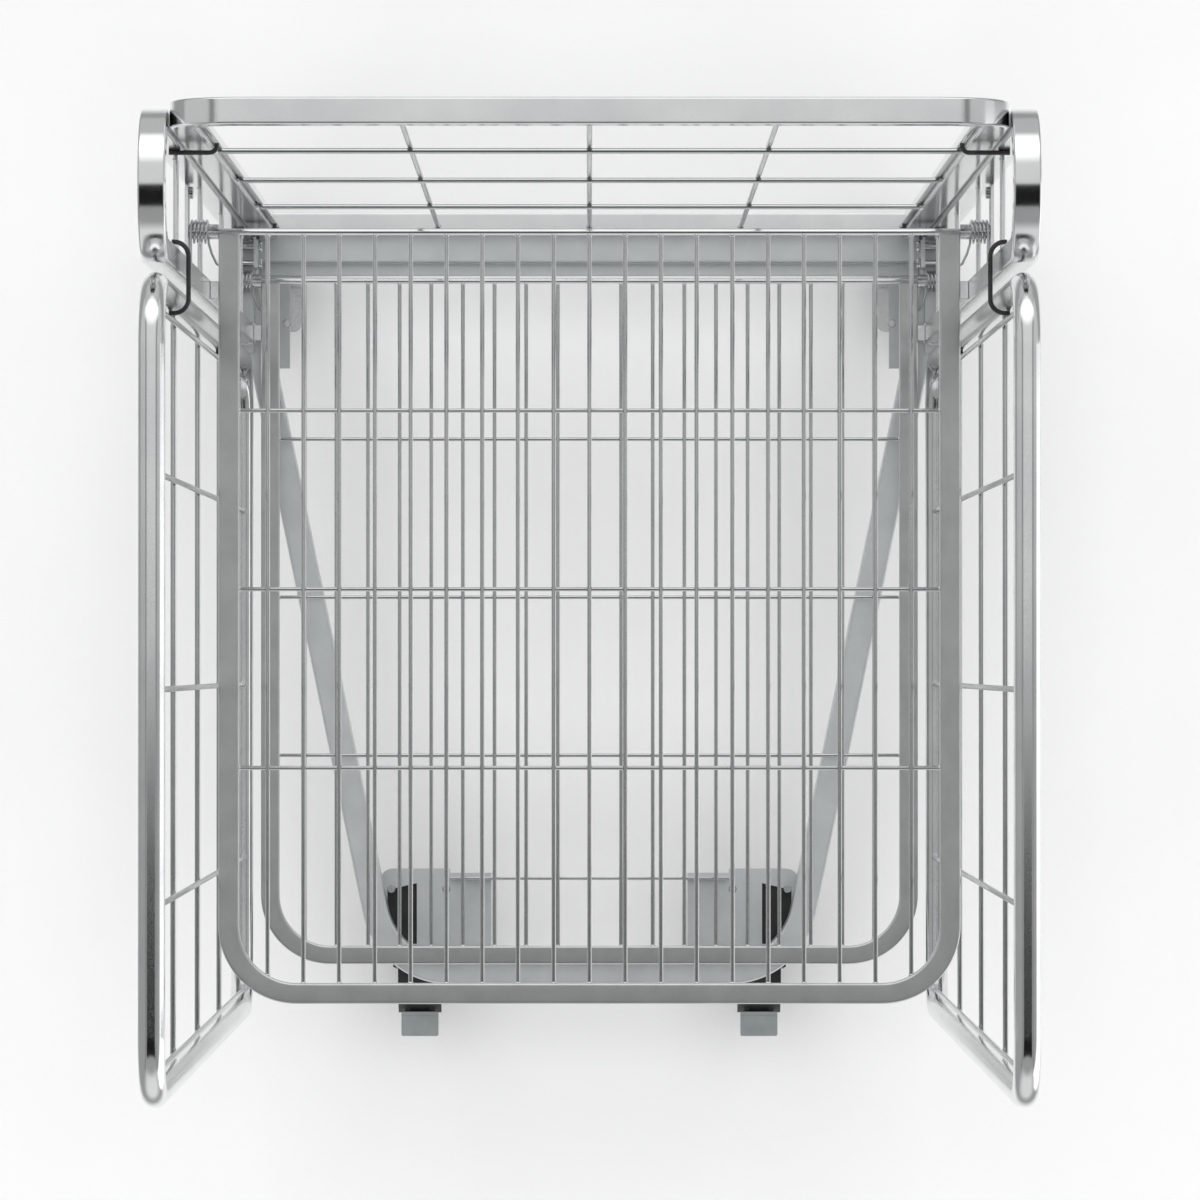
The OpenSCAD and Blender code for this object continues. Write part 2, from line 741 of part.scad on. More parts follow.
module caster_bolts() {
    color(zinc) for (side = [LEFT, RIGHT]) {
        at_front(side) bolts(front_bolts);
        at_rear(side) bolts(rear_bolts);
    }
}

module top_plate(size) {
    translate([0, 0, caster_h - caster_plate_t]) linear_extrude(caster_plate_t)
        rounded_rect(size, plate_corner_r);
}

crown_t = 7.5;
crown_gap = 1;
crown_top = caster_h - caster_plate_t - bolt_head_h - crown_gap;
crown_low = crown_top - crown_t;
crown_reach = 12;
swivel_boss_d = 52;
swivel_boss_gap = 0.5;
kingpin_flange = [5, 4];

module front_plate(side) {
    color(black) at_front(side) difference() {
        top_plate(front_plate_size);
        bolt_holes([0, 0], front_bolts);
        translate([0, 0, crown_low]) cylinder(d = kingpin_d + 2 * pin_fit, h = caster_h);
    }
}

module front_kingpin(side) {
    flange_top = crown_low - rest_gap;
    color(zinc) at_front(side) {
        translate([0, 0, flange_top]) cylinder(d = kingpin_d, h = caster_h - flange_top);
        translate([0, 0, flange_top - kingpin_flange.y])
            cylinder(d = kingpin_d + 2 * kingpin_flange.x, h = kingpin_flange.y);
    }
}

// The point where a line from p touches a circle, on the circle's left or right seen from p
function touch_point(p, c, r, side) = let (v = p - c, a = atan2(v.y, v.x) + side * acos(r / norm(v)))
    c + r * [cos(a), sin(a)];

// Cheek outline, y to the rear and z up: two corners at the top taper to a boss at the axle
cheek_boss_wall = 11;

module cheek(axle, corners, top) {
    boss_r = axle_d / 2 + cheek_boss_wall;
    polygon([
        [corners[0].x, top], corners[0], touch_point(corners[0], axle, boss_r, 1), axle,
        touch_point(corners[1], axle, boss_r, -1), corners[1], [corners[1].x, top]
    ]);
    translate(axle) circle(boss_r);
}

module cheeks(axle, corners, top) {
    both_sides() side_plane(fork_in) linear_extrude(fork_t) cheek(axle, corners, top);
}

cover_gap = 3.5;
cover_t = 4;
cover_overlap = 1;
cover_web = 8;
// The cover starts this far above the axle's level, and ends this far behind the wheel's top
cover_from = 30;
cover_back = 5;
// Gap between the cover's sides and the cheeks
cover_side_gap = 0.5;
cover_half_w = fork_in - cover_side_gap;
pedal_place = [5, 34.5];
pedal_pivot = [-swivel_trail - wheel_r - pedal_place.x, wheel_r + pedal_place.y];
pedal_pin_d = 5;
pedal_knuckle_d = 9;
pedal_side_gap = 0.5;
ear_in = 10;
ear_t = 5;
// Corners of the pedal's ear, from its pivot back to the cover
ear_outline = [[0, -4], [0, 4], [13.5, 9], [11.5, 2]];

// Curved cover over the front of the wheel, with a web up to the crown
module wheel_cover(axle) {
    translate([-cover_half_w, axle.x, axle.y]) rotate([0, 90, 0]) rotate(180 - cover_back)
        rotate_extrude(angle = 90 - cover_from + cover_back) translate([wheel_r + cover_gap, 0])
        square([cover_t, 2 * cover_half_w]);
    block([-cover_half_w, axle.x - crown_reach, wheel_d + cover_gap + cover_overlap],
          [cover_half_w, axle.x - crown_reach + cover_web, crown_low + cover_overlap]);
}

module pedal_ears() {
    both_sides() side_plane(ear_in) linear_extrude(ear_t) translate(pedal_pivot) {
        circle(d = pedal_knuckle_d);
        polygon(ear_outline);
    }
}

// Black fork with its crown, two cheeks, and a cover over the front of the wheel that carries the pedal
module front_fork(side) {
    axle = [-swivel_trail, wheel_r];
    crown_front = axle.x - crown_reach;
    color(black) at_front(side) difference() {
        union() {
            translate([0, 0, crown_low]) linear_extrude(crown_t) {
                circle(d = swivel_boss_d);
                translate([-fork_out, crown_front]) square([2 * fork_out, -crown_front]);
            }
            translate([0, 0, crown_top])
                cylinder(d = swivel_boss_d, h = bolt_head_h + crown_gap - swivel_boss_gap);
            cheeks(axle, [[crown_front, crown_low], [0, crown_low]], crown_top);
            wheel_cover(axle);
            pedal_ears();
        }
        translate([0, 0, crown_low - cut]) cylinder(d = kingpin_d + 2 * pin_fit, h = caster_head);
        x_bar(-fork_out - cut, fork_out + cut, axle.x, axle.y, axle_d + 2 * pin_fit);
        x_bar(-ear_in - ear_t - cut, ear_in + ear_t + cut, pedal_pivot.x, pedal_pivot.y,
              pedal_pin_d + 2 * pin_fit);
    }
}

module axle_bolt() {
    head_h = 5;
    x_bar(-fork_out - head_h, fork_out + head_h, 0, wheel_r, axle_d);
    x_bar(-fork_out - head_h, -fork_out, 0, wheel_r, hex_share * axle_d, 6);
    x_bar(fork_out, fork_out + head_h, 0, wheel_r, hex_share * axle_d, 6);
}

module front_axle(side) {
    color(zinc) at_front(side) translate([0, -swivel_trail, 0]) axle_bolt();
}

module tyre() {
    tread_t = wheel_r - hub_d / 2;
    tread_r = 5;
    translate([0, 0, wheel_r]) rotate([0, 90, 0]) rotate_extrude()
        translate([hub_d / 2 + tread_t / 2, 0]) rounded_rect([tread_t, wheel_w], tread_r);
}

module hub() {
    rim_t = 6;
    rim_step = 2;
    web_t = 12;
    boss_d = 30;
    boss_gap = 0.5;
    holes = 6;
    hole_d = 14;
    seat_gap = 0.02;
    rim_in_d = hub_d - 2 * rim_t;
    rim_w = wheel_w - 2 * rim_step;
    boss_w = 2 * (fork_in - boss_gap);
    translate([0, 0, wheel_r]) rotate([0, 90, 0]) difference() {
        union() {
            cylinder(d = hub_d - 2 * seat_gap, h = rim_w, center = true);
            cylinder(d = boss_d, h = boss_w, center = true);
        }
        for (s = [-1, 1]) translate([0, 0, s * (web_t + rim_w) / 2]) difference() {
            cylinder(d = rim_in_d, h = rim_w, center = true);
            cylinder(d = boss_d, h = rim_w + 2 * cut, center = true);
        }
        for (k = [0 : holes - 1]) rotate(360 * k / holes) translate([(rim_in_d + boss_d) / 4, 0, 0])
            cylinder(d = hole_d, h = web_t + 2 * cut, center = true);
        cylinder(d = axle_d + 2 * pin_fit, h = boss_w + 2 * cut, center = true);
    }
}

module front_tyre(side) {
    color(black) at_front(side) translate([0, -swivel_trail, 0]) tyre();
}

module front_hub(side) {
    color(steel_grey) at_front(side) translate([0, -swivel_trail, 0]) hub();
}

// Foot pedal with a knuckle and pin between the cover's ears
module brake_pedal(side) {
    pad_t = 4;
    pad_corner_r = 2;
    // The pad runs over the ears: its underside above the pivot, and its reach behind it
    pad_lift = 6.2;
    pad_past = 4;
    pad_lap = 1;
    tip_y = -swivel_trail - wheel_r - pedal_reach;
    pad_rear = pedal_pivot.x + pad_past;
    neck_x = ear_in - pedal_side_gap;
    color(steel_grey) at_front(side) translate([0, 0, pedal_pivot.y]) {
        x_bar(-neck_x, neck_x, pedal_pivot.x, 0, pedal_knuckle_d);
        x_bar(-ear_in - ear_t, ear_in + ear_t, pedal_pivot.x, 0, pedal_pin_d);
        block([-neck_x, pedal_pivot.x - pedal_knuckle_d / 2, 0], [neck_x, pedal_pivot.x, pad_lift + pad_lap]);
        translate([0, (tip_y + pad_rear) / 2, pad_lift]) linear_extrude(pad_t)
            rounded_rect([pedal_w, pad_rear - tip_y], pad_corner_r);
    }
}

rear_cheek = [34, 10];

module rear_bracket(side) {
    plate_low = caster_h - caster_plate_t;
    axle = [0, wheel_r];
    color(steel_grey) at_rear(side) difference() {
        union() {
            top_plate(rear_plate_size);
            cheeks(axle, [[-rear_cheek.x, plate_low - rear_cheek.y], [rear_cheek.x, plate_low - rear_cheek.y]],
                plate_low + cover_overlap);
        }
        bolt_holes([0, 0], rear_bolts);
        x_bar(-fork_out - cut, fork_out + cut, axle.x, axle.y, axle_d + 2 * pin_fit);
    }
}

module rear_tyre(side) {
    color(black) at_rear(side) tyre();
}

module rear_hub(side) {
    color(steel_grey) at_rear(side) hub();
}

module rear_axles() {
    color(zinc) for (side = [LEFT, RIGHT]) at_rear(side) axle_bolt();
}

base_tube();
rear_crossbeam();
tie_strip();
front_gusset(LEFT);  // front_gusset_left
front_gusset(RIGHT);  // front_gusset_right
rear_gusset(LEFT);  // rear_gusset_left
rear_gusset(RIGHT);  // rear_gusset_right
foot_plates();
upright(LEFT);  // upright_left
upright(RIGHT);  // upright_right
rear_panel_frame();
rear_panel_mesh();
rear_hooks();
shelf_hinge_straps();
deck_hinge_straps();
deck_brackets();
hinge_pins();
stop_lugs();
deck_buffers();
caster_bolts();
torsion_spring(LEFT, shelf_z);  // shelf_spring_left
torsion_spring(RIGHT, shelf_z);  // shelf_spring_right
torsion_spring(LEFT, deck_z);  // deck_spring_left
torsion_spring(RIGHT, deck_z);  // deck_spring_right
fold_frame(shelf_z);  // shelf_frame
fold_grid(shelf_z);  // shelf_grid
fold_rod(shelf_z);  // shelf_hinge_rod
fold_bushes(shelf_z);  // shelf_bushes
fold_frame(deck_z);  // deck_frame
fold_grid(deck_z);  // deck_grid
fold_rod(deck_z);  // deck_hinge_rod
fold_bushes(deck_z);  // deck_bushes
gate_frame(LEFT);  // gate_frame_left
gate_mesh(LEFT);  // gate_mesh_left
gate_hooks(LEFT);  // gate_hooks_left
gate_frame(RIGHT);  // gate_frame_right
gate_mesh(RIGHT);  // gate_mesh_right
gate_hooks(RIGHT);  // gate_hooks_right
front_plate(LEFT);  // front_plate_left
front_kingpin(LEFT);  // front_kingpin_left
front_fork(LEFT);  // front_fork_left
front_axle(LEFT);  // front_axle_left
front_tyre(LEFT);  // front_tyre_left
front_hub(LEFT);  // front_hub_left
brake_pedal(LEFT);  // brake_pedal_left
front_plate(RIGHT);  // front_plate_right
front_kingpin(RIGHT);  // front_kingpin_right
front_fork(RIGHT);  // front_fork_right
front_axle(RIGHT);  // front_axle_right
front_tyre(RIGHT);  // front_tyre_right
front_hub(RIGHT);  // front_hub_right
brake_pedal(RIGHT);  // brake_pedal_right
rear_bracket(LEFT);  // rear_bracket_left
rear_tyre(LEFT);  // rear_tyre_left
rear_hub(LEFT);  // rear_hub_left
rear_bracket(RIGHT);  // rear_bracket_right
rear_tyre(RIGHT);  // rear_tyre_right
rear_hub(RIGHT);  // rear_hub_right
rear_axles();
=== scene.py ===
"""Looks of a nestable wire roll container: finishes, finer tubes, springs and welds around the fixed CAD frame.

Metres, in the CAD frame: the origin is on the floor under the middle, +X right, +Y to the rear, +Z up.
"""

import json
import math

import bmesh
import bpy
from mathutils import Matrix, Vector


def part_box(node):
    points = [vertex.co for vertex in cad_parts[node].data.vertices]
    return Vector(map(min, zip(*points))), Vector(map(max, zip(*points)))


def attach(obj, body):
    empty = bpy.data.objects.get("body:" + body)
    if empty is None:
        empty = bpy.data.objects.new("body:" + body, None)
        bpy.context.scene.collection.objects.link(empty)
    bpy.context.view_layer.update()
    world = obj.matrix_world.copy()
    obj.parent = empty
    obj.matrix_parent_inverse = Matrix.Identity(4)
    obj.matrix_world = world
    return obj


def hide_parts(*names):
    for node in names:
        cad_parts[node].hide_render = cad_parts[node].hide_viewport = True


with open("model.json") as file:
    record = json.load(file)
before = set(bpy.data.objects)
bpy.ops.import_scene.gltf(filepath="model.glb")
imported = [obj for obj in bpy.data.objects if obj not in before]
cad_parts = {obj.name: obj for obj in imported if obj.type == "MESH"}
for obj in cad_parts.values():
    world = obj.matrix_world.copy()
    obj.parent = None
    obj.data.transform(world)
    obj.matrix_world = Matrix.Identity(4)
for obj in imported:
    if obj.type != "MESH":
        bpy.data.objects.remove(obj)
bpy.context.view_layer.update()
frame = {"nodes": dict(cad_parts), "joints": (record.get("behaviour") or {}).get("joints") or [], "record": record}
NODES = frame["nodes"]
JOINT_POS = {joint["name"]: Vector(joint["pos_m"]) for joint in frame["joints"]}
SLOT_OF = {row["node"]: row["material_slot"] for row in frame["record"]["subparts"]}
SIDES = {"left": -1, "right": 1}

# Camera, high above the middle and looking almost straight down
CAMERA_PLACE = Vector((0.0, -0.032, 7.759))
CAMERA_TARGET = Vector((0.011, 0.030, 0.0))
CAMERA_LENS = 223.5
SENSOR_WIDTH = 36.0
CAMERA_REACH = 100.0

# Sizes that the boxes of the nodes don't give
TUBE_CORNER_R = 0.002
UPRIGHT_D = 0.020
PANEL_TUBE = 0.022
PANEL_BEND_R = 0.046
PANEL_BAR_RISE = 0.039
GATE_TUBE = 0.022
GATE_BEND_R = 0.050
MESH_WIRE = 0.005
MESH_LEVELS = [0.265, 0.655, 1.045, 1.435]
MESH_COLUMNS = (-1, 0, 1)
MESH_LAYER = 0.0022
MESH_INSET = 0.001
GATE_WIRE_PITCH = 0.175
PANEL_WIRE_PITCH = 0.1525
RAIL_W = 0.0185
RAIL_H = 0.012
RAIL_CORNER_R = 0.002
SHELF_BEND_R = 0.061
SHELF_WIRE = 0.004
SHELF_WIRE_PITCH = 0.032
SHELF_SIDE_WIRES = 9
CROSS_WIRE = 0.00375
CROSS_PITCH = 0.160
CROSS_WIRES = 3
CROSS_DROP = 0.003275
HINGE_ROD = 0.006


# Materials

NOISE_RANGE = (0.35, 0.65)
CLOUD_RANGE = (0.32, 0.68)
GRAIN_DETAIL = 2.0
GRAIN_DEPTH = 0.0002


def new_material(name):
    """A material with a Principled shader, and its node tree and shader."""
    material = bpy.data.materials.new(name)
    material.use_nodes = True
    tree = material.node_tree
    shader = next(n for n in tree.nodes if n.type == "BSDF_PRINCIPLED")
    return material, tree, shader


def noise(tree, scale, detail=4.0):
    """Noise over the piece's own coordinates."""
    place = tree.nodes.new("ShaderNodeTexCoord")
    texture = tree.nodes.new("ShaderNodeTexNoise")
    texture.inputs["Scale"].default_value = scale
    texture.inputs["Detail"].default_value = detail
    tree.links.new(place.outputs["Object"], texture.inputs["Vector"])
    return texture.outputs["Fac"]


def between(tree, value, low, high, start=NOISE_RANGE[0], end=NOISE_RANGE[1]):
    """A number that goes from low to high while a value goes from start to end."""
    remap = tree.nodes.new("ShaderNodeMapRange")
    for socket, number in zip(("From Min", "From Max", "To Min", "To Max"), (start, end, low, high)):
        remap.inputs[socket].default_value = number
    tree.links.new(value, remap.inputs["Value"])
    return remap.outputs["Result"]


def product(tree, one, two):
    node = tree.nodes.new("ShaderNodeMath")
    node.operation = "MULTIPLY"
    tree.links.new(one, node.inputs[0])
    tree.links.new(two, node.inputs[1])
    return node.outputs["Value"]


def two_tone(tree, value, dark, light):
    """A colour that follows a noise value from dark to light."""
    ramp = tree.nodes.new("ShaderNodeValToRGB")
    for element, position, tone in zip(ramp.color_ramp.elements, CLOUD_RANGE, (dark, light)):
        element.position = position
        element.color = (*tone, 1)
    tree.links.new(value, ramp.inputs["Fac"])
    return ramp.outputs["Color"]


def bump(tree, shader, value, strength, depth):
    node = tree.nodes.new("ShaderNodeBump")
    node.inputs["Strength"].default_value = strength
    node.inputs["Distance"].default_value = depth
    tree.links.new(value, node.inputs["Height"])
    tree.links.new(node.outputs["Normal"], shader.inputs["Normal"])


def surface(name, dark, light, cloud, rough, metallic, grain, grain_bump):
    """A finish with a cloudy tone, a roughness that varies with it, and a fine grain."""
    material, tree, shader = new_material(name)
    clouds = noise(tree, cloud)
    grains = noise(tree, grain, detail=GRAIN_DETAIL)
    tree.links.new(two_tone(tree, clouds, dark, light), shader.inputs["Base Color"])
    tree.links.new(between(tree, grains, *rough), shader.inputs["Roughness"])
    shader.inputs["Metallic"].default_value = metallic
    bump(tree, shader, grains, grain_bump, GRAIN_DEPTH)
    return material


# Each finish: dark and light tone, size of the clouds, roughness range, metallic, grain and its bump
FINISHES = {
    "zinc": ((0.71, 0.72, 0.73), (0.80, 0.81, 0.81), 14, (0.10, 0.17), 1.0, 900, 0.02),
    # wire: the zinc plating again, made darker as painted shade for the darker reflections on thin wire
    "wire": ((0.50, 0.51, 0.515), (0.56, 0.57, 0.57), 14, (0.10, 0.17), 1.0, 900, 0.02),
    "base_steel": ((0.58, 0.605, 0.61), (0.64, 0.665, 0.67), 30, (0.30, 0.42), 0.6, 700, 0.05),
    "beam_steel": ((0.58, 0.605, 0.61), (0.64, 0.665, 0.67), 30, (0.19, 0.23), 0.6, 700, 0.01),
    "shelf_grey": ((0.59, 0.60, 0.60), (0.66, 0.67, 0.67), 40, (0.30, 0.40), 1.0, 1200, 0.05),
    "black_caster": ((0.012, 0.012, 0.013), (0.022, 0.022, 0.023), 60, (0.38, 0.52), 0.0, 1600, 0.10),
    "tyre": ((0.016, 0.016, 0.016), (0.032, 0.031, 0.030), 45, (0.62, 0.80), 0.0, 1400, 0.15),
    "hub": ((0.16, 0.17, 0.175), (0.20, 0.21, 0.215), 50, (0.40, 0.52), 0.0, 1500, 0.08),
    "dark_hook": ((0.014, 0.014, 0.016), (0.026, 0.026, 0.028), 80, (0.22, 0.34), 0.0, 900, 0.05),
    "pedal": ((0.24, 0.26, 0.265), (0.28, 0.30, 0.305), 60, (0.34, 0.46), 0.0, 1300, 0.08),
    "spring": ((0.52, 0.53, 0.54), (0.62, 0.63, 0.63), 60, (0.10, 0.16), 1.0, 1500, 0.03),
}
MATERIALS = {slot: surface(slot, *finish) for slot, finish in FINISHES.items()}

# The wire finish is the zinc plating made darker, painted shade for the darker reflections that thin wire shows,
# and the crossbeam is smoother than the base
WIRE_NODES = ("shelf_grid", "deck_grid", "rear_panel_mesh", "gate_mesh_left", "gate_mesh_right")
FINISH_OF = {**SLOT_OF, **dict.fromkeys(WIRE_NODES, "wire"), "rear_crossbeam": "beam_steel"}

for node_name, node_object in NODES.items():
    node_object.data.materials.clear()
    node_object.data.materials.append(MATERIALS[FINISH_OF[node_name]])


# Helpers that make pieces


def add_piece(name, mesh_maker, body, slot):
    """A new piece from a bmesh, on a body and with the finish of a slot."""
    mesh = bpy.data.meshes.new(name)
    shape = bmesh.new()
    mesh_maker(shape)
    bmesh.ops.recalc_face_normals(shape, faces=shape.faces)
    for face in shape.faces:
        face.smooth = True
    shape.to_mesh(mesh)
    shape.free()
    piece = bpy.data.objects.new(name, mesh)
    bpy.context.scene.collection.objects.link(piece)
    mesh.materials.append(MATERIALS[slot])
    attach(piece, body)
    return piece


ARC_STEP = math.radians(4)
CREASE_ANGLE = math.radians(60)
TUBE_SIDES = 32
WIRE_SIDES = 16
COIL_SIDES = 12
SAME_POINT = 1e-6


def bent_path(corners, radius, closed=False):
    """Points and directions along straight runs and round bends through the corners."""
    path = []
    count = len(corners)
    for i, corner in enumerate(corners):
        if not closed and i in (0, count - 1):
            ahead = corners[1] - corner if i == 0 else corner - corners[i - 1]
            path.append((corner, ahead.normalized()))
            continue
        back = (corners[i - 1] - corner).normalized()
        ahead = (corners[(i + 1) % count] - corner).normalized()
        angle = math.pi - back.angle(ahead)
        reach = radius * math.tan(angle / 2)
        centre = corner + (back + ahead).normalized() * radius / math.cos(angle / 2)
        spoke = corner + back * reach - centre
        steps = max(2, round(angle / ARC_STEP))
        for k in range(steps + 1):
            turn = angle * k / steps
            point = centre + spoke * math.cos(turn) - back * radius * math.sin(turn)
            if path and (point - path[-1][0]).length < SAME_POINT:
                continue
            path.append((point, -spoke.normalized() * math.sin(turn) - back * math.cos(turn)))
    return path


def round_section(diameter, sides=TUBE_SIDES):
    turns = [2 * math.pi * k / sides for k in range(sides)]
    return [(diameter / 2 * math.cos(a), diameter / 2 * math.sin(a)) for a in turns]


def rectangle_section(width, height, corner_r, steps=4):
    """A rectangle with round corners, counterclockwise."""
    points = []
    for quarter, (sx, sy) in enumerate(((1, 1), (-1, 1), (-1, -1), (1, -1))):
        for k in range(steps + 1):
            a = math.pi / 2 * (quarter + k / steps)
            points.append((sx * (width / 2 - corner_r) + corner_r * math.cos(a),
                           sy * (height / 2 - corner_r) + corner_r * math.sin(a)))
    return points


def sweep(shape, path, up, section, closed=False):
    """A section along a flat path; up is square to the path's plane."""
    rings = []
    for point, along in path:
        across = up.cross(along)
        rings.append([shape.verts.new(point + across * x + up * y) for x, y in section])
    pairs = list(zip(rings, rings[1:] + rings[:1] if closed else rings[1:]))
    for one, two in pairs:
        for k in range(len(section)):
            j = (k + 1) % len(section)
            shape.faces.new((one[k], one[j], two[j], two[k]))
    if not closed:
        shape.faces.new(rings[0])
        shape.faces.new(reversed(rings[-1]))


def keep_flats(piece):
    """Shades flat sides flat and round corners round."""
    piece.data.set_sharp_from_angle(angle=CREASE_ANGLE)
    piece.modifiers.new("flats", "WEIGHTED_NORMAL").keep_sharp = True


def wire(shape, start, end, diameter):
    along = (end - start).normalized()
    section = round_section(diameter, WIRE_SIDES)
    sweep(shape, [(start, along), (end, along)], along.orthogonal().normalized(), section)


def smooth_path(points, steps):
    """Points on a smooth curve through the given ones."""
    found = []
    for i in range(len(points) - 1):
        before, start = points[max(i - 1, 0)], points[i]
        end, after = points[i + 1], points[min(i + 2, len(points) - 1)]
        for k in range(steps):
            t = k / steps
            found.append(0.5 * (2 * start + (end - before) * t
                                + (2 * before - 5 * start + 4 * end - after) * t ** 2
                                + (3 * start - before - 3 * end + after) * t ** 3))
    return found + [points[-1]]


def free_wire(shape, path, radius, sides=COIL_SIDES):
    """A closed round wire along a path that isn't flat."""
    side = None
    rings = []
    turns = [2 * math.pi * k / sides for k in range(sides)]
    for i, point in enumerate(path):
        along = (path[min(i + 1, len(path) - 1)] - path[max(i - 1, 0)]).normalized()
        side = along.orthogonal() if side is None else side - along * side.dot(along)
        side.normalize()
        across = along.cross(side)
        ring = [point + radius * (side * math.cos(a) + across * math.sin(a)) for a in turns]
        rings.append([shape.verts.new(p) for p in ring])
    for one, two in zip(rings, rings[1:]):
        for k in range(sides):
            j = (k + 1) % sides
            shape.faces.new((one[k], one[j], two[j], two[k]))
    shape.faces.new(rings[0])
    shape.faces.new(reversed(rings[-1]))


# Bent tubes and rails, finer than the CAD meshes and on the same centrelines

X_AXIS, Y_AXIS, Z_AXIS = Vector((1, 0, 0)), Vector((0, 1, 0)), Vector((0, 0, 1))


def upright_mesh(shape, side):
    low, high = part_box(f"upright_{side}")
    x = (low.x + high.x) / 2
    front, rear = low.y + UPRIGHT_D / 2, high.y - UPRIGHT_D / 2
    top = high.z - UPRIGHT_D / 2
    corners = [Vector((x, y, z)) for y, z in ((front, low.z), (front, top), (rear, top), (rear, low.z))]
    section = rectangle_section(UPRIGHT_D, high.x - low.x, TUBE_CORNER_R)
    sweep(shape, bent_path(corners, (rear - front) / 2), X_AXIS, section)
    for z in MESH_LEVELS:
        wire(shape, Vector((x, front, z)), Vector((x, rear, z)), MESH_WIRE)


def gate_mesh(shape, side):
    low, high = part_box(f"gate_frame_{side}")
    x = (low.x + high.x) / 2
    half = GATE_TUBE / 2
    corners = [Vector((x, y, z)) for y, z in ((low.y + half, low.z + half), (high.y - half, low.z + half),
                                              (high.y - half, high.z - half), (low.y + half, high.z - half))]
    sweep(shape, bent_path(corners, GATE_BEND_R, closed=True), X_AXIS, round_section(GATE_TUBE), closed=True)


def panel_mesh(shape):
    low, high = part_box("rear_panel_frame")
    y = (low.y + high.y) / 2
    half = PANEL_TUBE / 2
    left, right, top = low.x + half, high.x - half, high.z - half
    corners = [Vector((x, y, z)) for x, z in ((left, low.z), (left, top), (right, top), (right, low.z))]
    section = rectangle_section(PANEL_TUBE, PANEL_TUBE, TUBE_CORNER_R)
    sweep(shape, bent_path(corners, PANEL_BEND_R), Y_AXIS, section)
    bar = [Vector((x, y, low.z + PANEL_BAR_RISE)) for x in (left + half, right - half)]
    sweep(shape, bent_path(bar, PANEL_BEND_R), Y_AXIS, section)


def rail_mesh(shape, level):
    low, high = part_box(f"{level}_frame")
    z = (low.z + high.z) / 2
    half = RAIL_W / 2
    left, right, front = low.x + half, high.x - half, low.y + half
    corners = [Vector((x, y, z)) for x, y in ((right, high.y), (right, front), (left, front), (left, high.y))]
    sweep(shape, bent_path(corners, SHELF_BEND_R), Z_AXIS, rectangle_section(RAIL_W, RAIL_H, RAIL_CORNER_R))


for side_name in SIDES:
    tube = add_piece(f"upright_tube_{side_name}", lambda shape: upright_mesh(shape, side_name),
                     "frame", "zinc")
    keep_flats(tube)
    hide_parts(f"upright_{side_name}")
    tube = add_piece(f"gate_tube_{side_name}", lambda shape: gate_mesh(shape, side_name),
                     f"gate_{side_name}", "zinc")
    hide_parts(f"gate_frame_{side_name}")
tube = add_piece("rear_panel_tubes", panel_mesh, "frame", "zinc")
keep_flats(tube)
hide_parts("rear_panel_frame")
for level in ("shelf", "deck"):
    rail = add_piece(f"{level}_rail", lambda shape: rail_mesh(shape, level), level, "shelf_grey")
    keep_flats(rail)
    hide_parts(f"{level}_frame")


# Weld beads where the wires and legs end, one piece for each body

BEAD_SPREAD = 1.3
BEAD_LENGTH = 0.9
BEAD_RINGS = 8
BEAD_SIDES = 12
FOOT_BEAD = 0.0034
FOOT_BEAD_SIDES = 10


def bead(shape, place, along, wire_d):
    """A small flattened bead round the end of a wire."""
    size = Vector((BEAD_SPREAD, BEAD_SPREAD, BEAD_LENGTH)) * wire_d / 2
    frame_of_bead = Matrix.LocRotScale(place, along.to_track_quat("Z", "Y"), size)
    bmesh.ops.create_uvsphere(shape, u_segments=BEAD_SIDES, v_segments=BEAD_RINGS, radius=1,
                              matrix=frame_of_bead)


def foot_bead(shape, foot, width, depth, bare):
    """A bead round three sides of a square leg's foot; bare points to the side that has none."""
    reach = Vector((width / 2, depth / 2, 0))
    across = Z_AXIS.cross(bare)
    corners = [foot + (bare * a + across * b) * reach for a, b in ((1, 1), (-1, 1), (-1, -1), (1, -1))]
    sweep(shape, bent_path(corners, TUBE_CORNER_R), Z_AXIS, round_section(FOOT_BEAD, FOOT_BEAD_SIDES))


def grid_welds(shape, level):
    low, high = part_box(f"{level}_frame")
    z = (low.z + high.z) / 2
    rod_y = JOINT_POS[f"{level}_fold"].y
    inner_x, inner_y = high.x - RAIL_W, low.y + RAIL_W
    inner_r = SHELF_BEND_R - RAIL_W / 2
    for k in range(-SHELF_SIDE_WIRES, SHELF_SIDE_WIRES + 1):
        x = k * SHELF_WIRE_PITCH
        past_bend = max(0.0, abs(x) - (inner_x - inner_r))
        front_y = inner_y + inner_r - math.sqrt(inner_r ** 2 - past_bend ** 2)
        bead(shape, Vector((x, front_y, z)), Y_AXIS, SHELF_WIRE)
        bead(shape, Vector((x, rod_y - HINGE_ROD / 2, z)), Y_AXIS, SHELF_WIRE)
    for i in range(1, CROSS_WIRES + 1):
        for side in SIDES.values():
            bead(shape, Vector((side * inner_x, rod_y - i * CROSS_PITCH, z - CROSS_DROP)), X_AXIS, CROSS_WIRE)


def gate_welds(shape, side_name):
    low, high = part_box(f"gate_frame_{side_name}")
    side = SIDES[side_name]
    x = (low.x + high.x) / 2
    middle_y = (low.y + high.y) / 2
    for z in MESH_LEVELS:
        for y in (low.y + GATE_TUBE, high.y - GATE_TUBE):
            bead(shape, Vector((x + side * MESH_LAYER, y, z)), Y_AXIS, MESH_WIRE)
    for k in MESH_COLUMNS:
        for z in (low.z + GATE_TUBE, high.z - GATE_TUBE):
            bead(shape, Vector((x - side * MESH_LAYER, middle_y + k * GATE_WIRE_PITCH, z)), Z_AXIS, MESH_WIRE)


